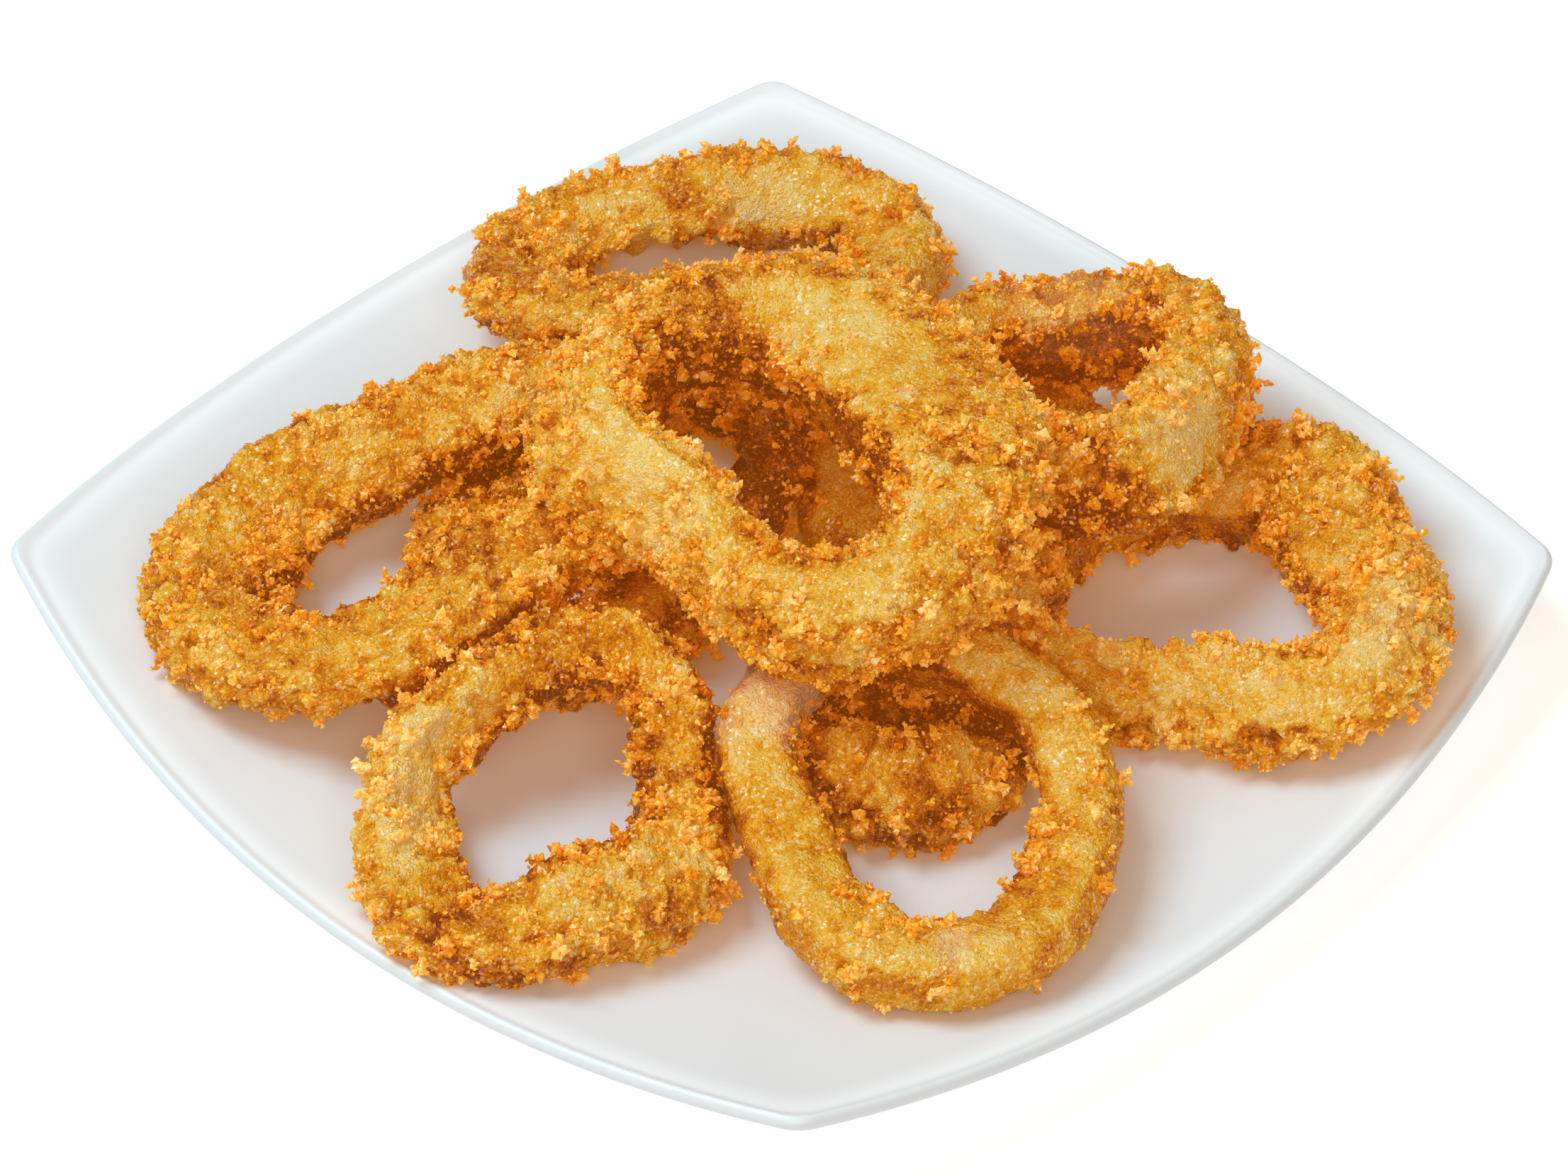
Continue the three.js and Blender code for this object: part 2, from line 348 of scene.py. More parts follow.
def crumb_grain_group() -> bpy.types.NodeTree:
    """Builds the shader group for the fine grain of a fried crumb coat.

    Returns:
        A group that takes Fineness, the number of grains in a metre, and puts out Height for a
        bump and Fleck, a mask of scattered grains.
    """
    dust_fineness, dust_detail, smoothness, hollowness = 1.7, 3.0, 0.35, -0.8
    tree = bpy.data.node_groups.new("crumb_grain", "ShaderNodeTree")
    for name, way in (("Fineness", "INPUT"), ("Height", "OUTPUT"), ("Fleck", "OUTPUT")):
        tree.interface.new_socket(name, in_out=way, socket_type="NodeSocketFloat")
    nodes = Nodes(tree)
    taken = nodes.add("NodeGroupInput")
    given = nodes.add("NodeGroupOutput")
    place = nodes.place()
    grains = nodes.add("ShaderNodeTexVoronoi", feature="SMOOTH_F1")
    nodes.put(place, grains.inputs["Vector"])
    nodes.put(taken.outputs["Fineness"], grains.inputs["Scale"])
    grains.inputs["Smoothness"].default_value = smoothness
    dust = nodes.add("ShaderNodeTexNoise")
    nodes.put(place, dust.inputs["Vector"])
    nodes.put(nodes.maths("MULTIPLY", taken.outputs["Fineness"], dust_fineness), dust.inputs["Scale"])
    dust.inputs["Detail"].default_value = dust_detail
    hollow = nodes.maths("MULTIPLY", grains.outputs["Distance"], hollowness)
    height = nodes.maths("ADD", hollow, dust.outputs["Fac"])
    nodes.put(height, given.inputs["Height"])
    nodes.put(grains.outputs["Color"], given.inputs["Fleck"])
    return tree


@dataclass(frozen=True)
class CrumbFinish:
    """Fried crumb: pale to toasted by its tone, grainy, oily in spots and faintly aglow.

    The glow stands for light that passes through batter. It is weaker where the coat itself is
    seen than where it lights other pieces. Pale cream flecks on some grains are painted glints,
    and the tone carries painted shade as well as the batter's own browning.
    """

    name: str
    grain: float = 0.55
    bump: float = 0.55
    roughness: float = 0.4
    pale: Colour = (0.85, 0.625, 0.21)
    straw: Colour = (0.85, 0.53, 0.085)
    golden: Colour = (0.81, 0.385, 0.018)
    amber: Colour = (0.69, 0.245, 0.004)
    brown: Colour = (0.54, 0.125, 0.002)
    toasted: Colour = (0.23, 0.03, 0.001)
    onion: Colour = (0.86, 0.70, 0.46)
    # Painted glints: pale cream blended onto a share of the grains, standing for highlights.
    painted_glint: Colour = (0.95, 0.85, 0.67)
    painted_glint_share: float = 0.34
    painted_glint_strength: float = 0.74
    glow: Colour = (1.0, 0.38, 0.02)
    glow_strength: float = 0.055
    glow_on_others: float = 0.23
    oily_share: float = 0.35
    oil_roughness: float = 0.14
    speckle_grain: float = 0.75
    speckle_strength: float = 0.8
    fleck_strength: float = -0.3
    gloss_swing: float = -0.22
    painted_glint_contrast: float = 4.0
    oil_contrast: float = 8.0
    shine: float = 0.15

    def material(self, grain_group: bpy.types.NodeTree) -> bpy.types.Material:
        """Builds the material.

        Args:
            grain_group: The shared crumb grain.

        Returns:
            A material that reads the attributes tone, from pale 0 to toasted 1, which carries painted
            shade as well as browning, and onion, the share of bare onion that shows.
        """
        material, nodes, shader = new_material(self.name)
        material.cycles.emission_sampling = "NONE"
        grain = nodes.add("ShaderNodeGroup", node_tree=grain_group)
        grain.inputs["Fineness"].default_value = 1.0 / (self.grain * MM)
        tone = nodes.attribute("tone")
        onion = nodes.attribute("onion")
        speckle = nodes.maths("SUBTRACT", nodes.noise(self.speckle_grain, 3.0), 0.5)
        fleck = nodes.maths("SUBTRACT", grain.outputs["Fleck"], 0.5)
        shade = nodes.maths("MULTIPLY_ADD", speckle, self.speckle_strength, tone)
        shade = nodes.maths("MULTIPLY_ADD", fleck, self.fleck_strength, shade)
        colour = nodes.ramp(shade, [
            (0.0, self.pale),
            (0.2, self.straw),
            (0.42, self.golden),
            (0.62, self.amber),
            (0.8, self.brown),
            (1.0, self.toasted),
        ])
        # Painted glints: a random share of the grains is blended toward pale cream, most on pale batter.
        painted_glint_mask = nodes.maths("SUBTRACT", grain.outputs["Fleck"], 1.0 - self.painted_glint_share)
        painted_glint_mask = nodes.maths("MULTIPLY", painted_glint_mask, self.painted_glint_contrast, clamp=True)
        painted_glint_weight = nodes.maths("MULTIPLY_ADD", tone, -self.painted_glint_strength, self.painted_glint_strength)
        colour = nodes.mix(nodes.maths("MULTIPLY", painted_glint_mask, painted_glint_weight), colour, opaque(self.painted_glint))
        colour = nodes.mix(onion, colour, opaque(self.onion))
        nodes.put(colour, shader.inputs["Base Color"])
        gloss = nodes.maths("MULTIPLY_ADD", grain.outputs["Fleck"], self.gloss_swing, self.roughness)
        nodes.put(gloss, shader.inputs["Roughness"])
        oily = nodes.maths("SUBTRACT", grain.outputs["Fleck"], 1.0 - self.oily_share)
        oily = nodes.maths("MULTIPLY", oily, self.oil_contrast, clamp=True)
        nodes.put(oily, shader.inputs["Coat Weight"])
        nodes.put(nodes.bump(grain.outputs["Height"], 1.0, self.bump), shader.inputs["Normal"])
        set_inputs(shader, {
            "Coat Roughness": self.oil_roughness,
            "Specular IOR Level": self.shine,
            "Emission Color": opaque(self.glow),
        })
        seen = nodes.add("ShaderNodeLightPath").outputs["Is Camera Ray"]
        fade = self.glow_strength - self.glow_on_others
        glow = nodes.maths("MULTIPLY_ADD", seen, fade, self.glow_on_others)
        nodes.put(glow, shader.inputs["Emission Strength"])
        return material


@dataclass(frozen=True)
class ChinaFinish:
    """White glazed china, faintly uneven in gloss; a painted highlight bluer on the lip, painted shade
    greyer outside it.
    """

    name: str = "white_china"
    colour: Colour = (0.74, 0.79, 0.86)
    shade: Colour = (0.71, 0.76, 0.83)
    # Painted highlight on the lip's crest, and painted shade outside the lip.
    crest: Colour = (0.82, 0.90, 0.98)
    edge: Colour = (0.52, 0.565, 0.62)
    roughness: float = 0.35
    roughness_swing: float = 0.12
    cloud_grain: float = 38.0
    smear_grain: float = 9.0
    ripple_grain: float = 14.0
    ripple_strength: float = 0.12
    ripple_depth: float = 0.2
    glaze_weight: float = 0.1
    glaze_roughness: float = 0.15

    def material(self) -> bpy.types.Material:
        """Builds the glazed china material.

        Returns:
            A material that reads the attribute lip: 0 off the lip, half on its crest, 1 outside.
        """
        material, nodes, shader = new_material(self.name)
        cloud = nodes.noise(self.cloud_grain, 3.0)
        glaze = nodes.mix(cloud, opaque(self.colour), opaque(self.shade))
        lip = nodes.attribute("lip")
        # Painted highlight: toward the lip's crest the glaze is blended to a pale blue-white.
        rising = nodes.maths("MULTIPLY", lip, 2.0, clamp=True)
        glaze = nodes.mix(rising, glaze, opaque(self.crest))
        # Painted shade: outside the lip the glaze is blended to a darker grey-blue.
        outside = nodes.maths("MULTIPLY_ADD", lip, 2.0, -1.0, clamp=True)
        nodes.put(nodes.mix(outside, glaze, opaque(self.edge)), shader.inputs["Base Color"])
        smear = nodes.noise(self.smear_grain, 4.0)
        gloss = nodes.maths("MULTIPLY_ADD", smear, self.roughness_swing, self.roughness)
        nodes.put(gloss, shader.inputs["Roughness"])
        ripple = nodes.noise(self.ripple_grain, 1.0)
        ripple = nodes.bump(ripple, self.ripple_strength, self.ripple_depth)
        nodes.put(ripple, shader.inputs["Normal"])
        set_inputs(shader, {
            "Coat Weight": self.glaze_weight,
            "Coat Roughness": self.glaze_roughness,
        })
        return material


# ---- The plate ---------------------------------------------------------------------------------


@dataclass
class Plate:
    """Square plate whose sides bow outward and whose corners rise."""

    mid_side: float = 120.5
    side_radius: float = 302.0
    corner_radius: float = 7.0
    corner_widening: float = 105.0
    corner_reach: float = 145.0
    rim_height: float = 14.0
    corner_lift: float = 10.3
    floor_height: float = 4.5
    well_share: float = 0.42
    rise_power: float = 1.7
    lip_thickness: float = 3.0
    wall_thickness: float = 4.2
    under_recess: float = 1.2
    foot_outer: float = 0.53
    foot_inner: float = 0.49
    middle_share: float = 0.004
    recess_shares: tuple[float, ...] = (0.47, 0.25, 0.004)
    slope_end: float = 0.93
    shoulder_end: float = 0.982
    under_start: float = 0.975
    under_end: float = 0.56
    side_steps: int = 64
    corner_steps: int = 24
    centre_loops: int = 8
    slope_loops: int = 30
    lip_loops: int = 13
    under_loops: int = 16
    foot_loops: int = 3
    # The shoulder and crest values steer the china's painted lip highlight and painted shade.
    shoulder_values: tuple[float, ...] = (0.0, 0.08, 0.2, 0.33, 0.46, 0.54, 0.6)
    crest_values: tuple[float, float] = (0.65, 1.35)
    finish: ChinaFinish = field(default_factory=ChinaFinish)

    def outline(self, share: float = 1.0) -> Array:
        """The plate's edge, or a rounder one further in: four bowed sides and four corner arcs.

        Args:
            share: Share of the way out to the lip. Corner arcs widen on the way in.

        Returns:
            Points as complex numbers, at the size of the edge.
        """
        corner_radius = self.corner_radius + self.corner_widening * (1.0 - share)
        side_centre = self.mid_side - self.side_radius
        half = side_centre * np.sqrt(0.5)
        reach = self.side_radius - corner_radius
        corner_centre = half + np.sqrt(reach**2 - half**2)
        blend = np.pi / 4 - np.arctan2(-half, corner_centre - half)
        side_turns = np.linspace(-blend, blend, self.side_steps, endpoint=False)
        corner_turns = np.linspace(blend, np.pi / 2 - blend, self.corner_steps, endpoint=False)
        side = side_centre + self.side_radius * np.exp(1j * side_turns)
        corner = corner_centre * np.exp(0.25j * np.pi) + corner_radius * np.exp(1j * corner_turns)
        quarter = np.concatenate([side, corner])
        turns = np.exp(0.5j * np.pi * np.arange(4))
        return (turns[:, None] * quarter[None, :]).ravel()

    def lip_height(self, distance: Array) -> Array:
        """Height of the lip, rising evenly from the middle of a side to a corner."""
        share = np.clip((distance - self.mid_side) / (self.corner_reach - self.mid_side), 0.0, None)
        return self.rim_height + self.corner_lift * share

    def loop(self, share: float, drop: float = 0.0, level: float | None = None) -> Array:
        """One loop of the surface.

        Args:
            share: Share of the way out to the lip.
            drop: How far below the eating surface the loop lies.
            level: The loop's height, where it is flat.

        Returns:
            Points in millimetres.
        """
        edge = self.outline(share)
        distance = np.abs(edge)
        rise = max(0.0, (share - self.well_share) / (1.0 - self.well_share)) ** self.rise_power
        height = self.floor_height + (self.lip_height(distance) - self.floor_height) * rise - drop
        if level is not None:
            height = np.full_like(distance, level)
        return np.stack([share * edge.real, share * edge.imag, height], axis=-1)

    def lip_loop(self, turn: float) -> Array:
        """The loop at one angle round the lip's half-round edge."""
        edge = self.outline()
        distance = np.abs(edge)
        half = self.lip_thickness / 2
        flat = edge * (distance - half + half * np.cos(turn)) / distance
        height = self.lip_height(distance) - half + half * np.sin(turn)
        return np.stack([flat.real, flat.imag, height], axis=-1)

    def thickness(self, share: float) -> float:
        """China thickness, from the foot out to the lip."""
        out = (share - self.foot_outer) / (1.0 - self.foot_outer)
        return self.wall_thickness + (self.lip_thickness - self.wall_thickness) * out

    def surface(self) -> Array:
        """All loops, from the middle of the well over the lip and under to the middle again."""
        top = np.concatenate([
            np.linspace(self.middle_share, self.well_share, self.centre_loops, endpoint=False),
            np.linspace(self.well_share, self.slope_end, self.slope_loops, endpoint=False),
            np.linspace(self.slope_end, self.shoulder_end, len(self.shoulder_values)),
        ])
        under = np.linspace(self.under_start, self.under_end, self.under_loops)
        foot = np.linspace(self.foot_outer, self.foot_inner, self.foot_loops)
        loops = [self.loop(share) for share in top]
        loops += [self.lip_loop(turn) for turn in np.linspace(np.pi / 2, -np.pi / 2, self.lip_loops)]
        loops += [self.loop(share, drop=self.thickness(share)) for share in under]
        loops += [self.loop(share, level=0.0) for share in foot]
        loops += [self.loop(share, level=self.under_recess) for share in self.recess_shares]
        return np.stack(loops)

    def depth(self, points: Array) -> Array:
        """How deep points lie under the eating surface.

        The surface's height at a point is that of the loop through it: the floor's height, plus the
        lip's rise times the share of the way out from the well to the lip, to the rise's power.

        Args:
            points: Places in millimetres, on the last axis.

        Returns:
            Depths in millimetres, below 0 above the surface.
        """
        flat = points[..., 0] + 1j * points[..., 1]
        edge = self.outline()
        reach = np.interp(np.angle(flat), np.angle(edge), np.abs(edge), period=2.0 * np.pi)
        out = np.maximum(0.0, (np.abs(flat) / reach - self.well_share) / (1.0 - self.well_share))
        surface = self.floor_height + (self.lip_height(reach) - self.floor_height) * out**self.rise_power
        return surface - points[..., 2]

    def lip_values(self) -> Array:
        """How far over the lip each loop lies: 0 inside, half on the crest, 1 outside, 0 below."""
        return np.concatenate([
            np.zeros(self.centre_loops + self.slope_loops),
            self.shoulder_values,
            np.clip(np.linspace(*self.crest_values, self.lip_loops), 0.0, 1.0),
            np.linspace(1.0, 0.0, self.under_loops),
            np.zeros(self.foot_loops + len(self.recess_shares)),
        ])

    def build(self) -> bpy.types.Object:
        """Makes and dresses the plate.

        Returns:
            The plate, standing for its plain solid.
        """
        loops = self.surface()
        rows, columns, _ = loops.shape
        faces = grid_faces(rows, columns, rows_wrap=False)
        piece = make_mesh("china_plate", loops.reshape(-1, 3), faces, smooth=True)
        self.close_middles(piece, rows, columns)
        # The lip values carry the painted lip highlight and the painted shade outside the lip.
        add_values(piece, "lip", np.repeat(self.lip_values(), columns))
        piece.data.materials.append(self.finish.material())
        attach(piece, BODY)
        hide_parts("plate")
        return piece

    @staticmethod
    def close_middles(piece: bpy.types.Object, rows: int, columns: int) -> None:
        """Fills the two tiny holes at the middles of the top and the underside, one face each."""
        mesh = piece.data
        first = np.arange(columns, dtype=np.int32)[::-1]
        last = (np.arange(columns, dtype=np.int32) + (rows - 1) * columns)
        corners = np.zeros(len(mesh.loops), np.int32)
        mesh.loops.foreach_get("vertex_index", corners)
        starts = np.arange(0, len(corners), 4, dtype=np.int32)
        count = len(corners)
        mesh.loops.add(2 * columns)
        mesh.loops.foreach_set("vertex_index", np.concatenate([corners, first, last]))
        mesh.polygons.add(2)
        mesh.polygons.foreach_set("loop_start", np.concatenate([starts, [count, count + columns]]))
        mesh.polygons.foreach_set("use_smooth", np.full(len(mesh.polygons), True))
        mesh.update(calc_edges=True)


# ---- The rings ---------------------------------------------------------------------------------


@dataclass(frozen=True)
class Swing:
    """An amount that swings round a ring, greatest at a heading given in degrees."""

    amount: float = 0.0
    heading: float = 0.0

    def at(self, angle: Array, lobes: int) -> Array:
        """The swing at angles round the ring, with one or more crests."""
        return self.amount * np.cos(lobes * (angle - np.radians(self.heading)))


class Spot(Enum):
    """What a patch on a ring is like."""

    PALE = "paler"
    TOASTED = "browner"
    SMOOTH = "bare batter"
    CRUMBY = "thick crumbs"
    ONION = "onion showing through"
    DENT = "pressed in"


@dataclass(frozen=True)
class Patch:
    """A patch of coat: degrees round the ring, degrees round its section, reach and strength.

    A dent of negative strength is a swelling.
    """

    spot: Spot
    around: float
    section: float
    reach: float
    strength: float = 1.0


@dataclass(frozen=True)
class Look:
    """How a ring's coat differs from the others."""

    tone: float = 0.36
    crumbs: float = 0.75
    face_crumbs: float = 0.2
    inner_crumbs: float = 0.35
    edge_crumbs: float = 0.4
    # How much paler the palest side is: partly the batter's own colour, partly painted light.
    face_pale: float = 0.22
    face: Swing = Swing(25.0, 270.0)
    patches: tuple[Patch, ...] = ()

    def face_direction(self) -> Array:
        """Which way the palest side looks in the row frame: degrees off upright, and a heading."""
        tilt = np.radians(self.face.amount)
        heading = np.radians(self.face.heading) + HEAP_TURN
        flat = np.sin(tilt)
        return np.array([flat * np.cos(heading), flat * np.sin(heading), np.cos(tilt)])


FINE_STEPS = 1440  # steps of the outlines that even spacing is measured on


def squared_off(wave: Array, power: float) -> Array:
    """A cosine or sine raised to a power with its sign kept, for a rounded-square outline."""
    return np.sign(wave) * np.abs(wave) ** power


def evenly(steps: Array, count: int) -> Array:
    """Turns that cut a closed outline into equal lengths, from the lengths of its fine steps."""
    length = np.concatenate([[0.0], np.cumsum(steps)])
    fine = np.linspace(0.0, 2 * np.pi, FINE_STEPS + 1)
    return np.interp(np.arange(count) / count * length[-1], length, fine)


@dataclass
class Ring:
    """One crumbed onion ring: a closed band of rounded-square section, leaned and bent."""

    node: str
    at: tuple[float, float, float]
    lean: Swing
    radius: float
    wall: float
    tall: float
    flare: float = 0.0
    oval: Swing = Swing()
    egg: Swing = Swing()
    square: Swing = Swing()
    wave: Swing = Swing()
    wall_swing: Swing = Swing()
    tall_swing: Swing = Swing()
    flare_swing: Swing = Swing()
    look: Look = field(default_factory=Look)
    salt: int = 0
    spacing: float = 0.45
    section_power: float = 2.8

    def axes(self) -> Array:
        """The ring's own axes in the row frame: across, along and out of its face, as rows."""
        heading = np.radians(self.lean.heading) + HEAP_TURN
        slope = np.tan(np.radians(self.lean.amount))
        face = np.array([slope * np.cos(heading), slope * np.sin(heading), 1.0])
        face /= np.linalg.norm(face)
        right = np.array([np.cos(HEAP_TURN), np.sin(HEAP_TURN), 0.0])
        across = right - face * (face @ right)
        across /= np.linalg.norm(across)
        return np.stack([across, np.cross(face, across), face])

    def middle(self) -> Array:
        """The ring's middle in the row frame."""
        flat = complex(self.at[0], self.at[1]) * np.exp(1j * HEAP_TURN)
        return np.array([flat.real, flat.imag, self.at[2]])

    def centre_line(self, angle: Array) -> Array:
        """The middle of the band: radius times 1 plus its bulges, waved up and down."""
        bulge = self.oval.at(angle, 2) + self.egg.at(angle, 3) + self.square.at(angle, 4)
        radius = self.radius * (1.0 + bulge)
        return np.stack([radius * np.cos(angle), radius * np.sin(angle), self.wave.at(angle, 2)], -1)

    def band_axes(self, angle: Array) -> tuple[Array, Array]:
        """Which way the band's thickness and height point, turned outward by its flare."""
        step = 0.02
        heading = self.centre_line(angle + step) - self.centre_line(angle - step)
        heading /= np.linalg.norm(heading, axis=-1, keepdims=True)
        outward = np.cross(heading, np.array([0.0, 0.0, 1.0]))
        outward /= np.linalg.norm(outward, axis=-1, keepdims=True)
        upward = np.cross(outward, heading)
        flare = np.radians(self.flare + self.flare_swing.at(angle, 1))[..., None]
        wall = outward * np.cos(flare) - upward * np.sin(flare)
        height = upward * np.cos(flare) + outward * np.sin(flare)
        return wall, height

    def even_turns(self, count: int) -> Array:
        """Turns round the section that space its points evenly along its outline."""
        fine = np.linspace(0.0, 2 * np.pi, FINE_STEPS + 1)
        power = 2.0 / self.section_power
        x = self.wall * squared_off(np.cos(fine), power)
        y = self.tall * squared_off(np.sin(fine), power)
        return evenly(np.hypot(np.diff(x), np.diff(y)), count)

    def even_angles(self, count: int) -> Array:
        """Angles round the ring that space its sections evenly along the band."""
        fine = np.linspace(0.0, 2 * np.pi, FINE_STEPS + 1)
        return evenly(np.linalg.norm(np.diff(self.centre_line(fine), axis=0), axis=-1), count)

    def surface(self, angle: Array, turn: Array) -> Array:
        """Points of the plain band in the row frame.

        Args:
            angle: Angles round the ring.
            turn: Turns round the section: 0 is outside, a quarter turn is the upper face, half a
                turn is inside.

        Returns:
            Points in millimetres, for angles and turns broadcast together.
        """
        angle, turn = np.broadcast_arrays(angle, turn)
        wall, height = self.band_axes(angle)
        power = 2.0 / self.section_power
        out = squared_off(np.cos(turn), power)
        high = squared_off(np.sin(turn), power)
        half_wall = self.wall / 2 * (1.0 + self.wall_swing.at(angle, 1))
        half_tall = self.tall / 2 * (1.0 + self.tall_swing.at(angle, 1))
        local = self.centre_line(angle)
        local = local + wall * (out * half_wall)[..., None] + height * (high * half_tall)[..., None]
        return local @ self.axes() + self.middle()


class Pattern(IntEnum):
    """The noise patterns of a coat, as steps from the ring's salt."""

    KNOBS = 1
    LUMPS = 11
    BEADS = 21
    SWELL = 31
    COVER = 40
    TONE = 50
    SPECKLE = 60
    BURN = 70
    WARP = 81
    PATCH = 90


@dataclass
class CoatedRing:
    """A ring's coat: its batter surface with crumb relief, and the loose crumbs on it."""

    ring: Ring
    neighbours: list[Ring]
    sink: float = 0.4
    crumb_sink: float = 1.15
    stations: int = 40
    # Painted shade where a ring faces a close neighbour.
    contact_shade_reach: float = 9.0
    contact_shade_tone: float = 0.5
    dent_depth: float = 6.5
    headroom: float = 3.0
    knob_spacing: float = 4.6
    lump_spacing: float = 2.3
    bead_spacing: float = 1.25
    swell_grain: float = 9.0
    knob_height: float = 1.7
    lump_height: float = 1.9
    bead_height: float = 0.38
    crumb_bead_height: float = 0.45
    swell_height: float = 1.2
    onion_share: float = 0.85

    def grid(self) -> tuple[Array, Array]:
        """Angles and turns of the surface grid, evenly spaced in millimetres."""
        ring = self.ring
        fine = np.linspace(0.0, 2 * np.pi, FINE_STEPS // 2 + 1)
        around = np.linalg.norm(np.diff(ring.centre_line(fine), axis=0), axis=-1).sum()
        across = 1.75 * (ring.wall + ring.tall)
        return (
            ring.even_angles(int(around / ring.spacing))[:, None],
            ring.even_turns(int(across / ring.spacing))[None, :],
        )

    def patch_weight(self, points: Array, spot: Spot) -> Array:
        """How strongly the patches of one kind reach each point."""
        total = np.zeros(points.shape[:-1])
        wander = 1.0 + 0.45 * value_noise(points, 3.1, self.ring.salt + Pattern.PATCH)
        for patch in self.ring.look.patches:
            if patch.spot is spot:
                heart = self.ring.surface(
                    np.radians(np.array(patch.around)),
                    np.radians(np.array(patch.section)),
                )
                away = np.linalg.norm(points - heart, axis=-1) * wander
                total += patch.strength * (1.0 - eased(away, 0.35 * patch.reach, patch.reach))
        return np.clip(total, -1.0, 1.0)

    def contact_shade(self, points: Array, normals: Array) -> Array:
        """How much each place faces another ring close in front of it, for painted shade.

        The gap to a neighbour is the distance to its centre line less half its mean thickness.

        Args:
            points: Places on the plain band.
            normals: Outward directions there.

        Returns:
            One share from 0, open, to 1, touching, for each place.
        """
        most = np.zeros(points.shape[:-1])
        for other in self.neighbours:
            line = other.centre_line(other.even_angles(self.stations)) @ other.axes() + other.middle()
            away = (line - points[..., None, :]).astype(np.float32)
            distance = np.linalg.norm(away, axis=-1)
            facing = np.einsum("...kc,...c->...k", away, normals.astype(np.float32)) / distance
            gap = distance - 0.25 * (other.wall + other.tall)
            share = (1.0 - eased(gap, 0.5, self.contact_shade_reach)) * eased(facing, 0.0, 0.7)
            most = np.maximum(most, share.max(axis=-1))
        return most

    def coverage(self, points: Array, turn: Array, face: Array) -> Array:
        """Share of loose crumbs at each point, from bare batter 0 to thick crumbs 1.

        Args:
            points: Places on the plain band.
            turn: Turns round the section.
            face: How much each place belongs to the ring's palest side, 0 to 1.

        Returns:
            One share for each place.
        """
        look, salt = self.ring.look, self.ring.salt
        inner = eased(-np.cos(turn), 0.72, 0.98)
        edge = eased(np.abs(np.sin(2.0 * turn)), 0.45, 0.95)
        cover = look.crumbs + (look.face_crumbs - look.crumbs) * face
        cover = cover + (look.inner_crumbs - cover) * inner * (1.0 - face)
        cover = cover + look.edge_crumbs * edge
        cover = cover + 0.7 * layered_noise(points, 9.0, salt + Pattern.COVER)
        cover = cover - self.patch_weight(points, Spot.SMOOTH)
        cover = cover + self.patch_weight(points, Spot.CRUMBY)
        return np.clip(cover, 0.04, 1.0)

    def tones(self, points: Array, turn: Array, face: Array, cover: Array) -> Array:
        """How brown the coat is toned at each point before its relief, pale 0 to toasted 1, painted shade
        included.

        Args:
            points: Places on the plain band.
            turn: Turns round the section.
            face: How much each place belongs to the ring's palest side, 0 to 1.
            cover: Share of loose crumbs.

        Returns:
            One tone for each place.
        """
        look, salt = self.ring.look, self.ring.salt
        # Painted shade: the inner wall, in the ring's hole, is toned browner. The underside is a little
        # browner and the palest side paler, partly the batter's own colour and partly painted shade and
        # light.
        under = eased(-np.sin(turn), -0.3, 0.8)
        inner = eased(-np.cos(turn), 0.5, 0.95) * (1.0 - face)
        tone = look.tone + 0.24 * layered_noise(points, 11.0, salt + Pattern.TONE)
        tone = tone + 0.24 * value_noise(points, 2.6, salt + Pattern.SPECKLE)
        tone = tone - look.face_pale * face + 0.06 * under * (1.0 - face) + 0.32 * inner + 0.1 * cover
        burn = eased(layered_noise(points, 5.5, salt + Pattern.BURN), 0.4, 0.8)
        tone = tone + 0.18 * burn
        tone = tone - 0.28 * self.patch_weight(points, Spot.PALE)
        return tone + 0.42 * self.patch_weight(points, Spot.TOASTED)

    def build(self, crumb: bpy.types.Material, loose: bpy.types.Material) -> list[bpy.types.Object]:
        """Makes and dresses the coat and its loose crumbs.

        Args:
            crumb: Finish of the coat.
            loose: Finish of the loose crumbs.

        Returns:
            The coat and the crumbs.
        """
        ring = self.ring
        angle, turn = self.grid()
        plain = ring.surface(angle, turn)
        normals = grid_normals(plain)
        turn = np.broadcast_to(turn, plain.shape[:-1])
        face = eased(normals @ ring.look.face_direction(), 0.74, 0.97)
        dent = self.patch_weight(plain, Spot.DENT)
        cover = self.coverage(plain, turn, face) * (1.0 - 0.8 * dent.clip(0.0, 1.0))
        warped = plain + 0.5 * value_noise(plain, 1.6, ring.salt + Pattern.WARP)[..., None]
        knobs, tint = knob_relief(warped, self.knob_spacing, ring.salt + Pattern.KNOBS)
        lumps, lump_tint = knob_relief(warped, self.lump_spacing, ring.salt + Pattern.LUMPS)
        beads, bead_tint = knob_relief(warped, self.bead_spacing, ring.salt + Pattern.BEADS)
        swell = layered_noise(plain, self.swell_grain, ring.salt + Pattern.SWELL)
        height = cover * (self.knob_height * knobs + self.lump_height * lumps)
        height = height + (self.bead_height + self.crumb_bead_height * cover) * beads
        height = height + self.swell_height * swell
        pressed = self.sink + self.crumb_sink * cover + self.dent_depth * dent
        points = plain + normals * (height - pressed)[..., None]
        points[..., 2] = kept_below(points[..., 2], CAD_BOX[1][2] / MM, self.headroom)
        mixed_tint = 0.35 * tint + 0.35 * lump_tint + 0.3 * bead_tint
        peaks = 0.5 * knobs + 0.35 * lumps + 0.15 * beads
        tone = self.tones(plain, turn, face, cover)
        # Painted shade and light on the relief: low places between knobs are toned browner, knob tops paler.
        tone = tone + (mixed_tint - 0.5) * (0.12 + 0.35 * cover) + 0.8 * cover * (0.45 - peaks)
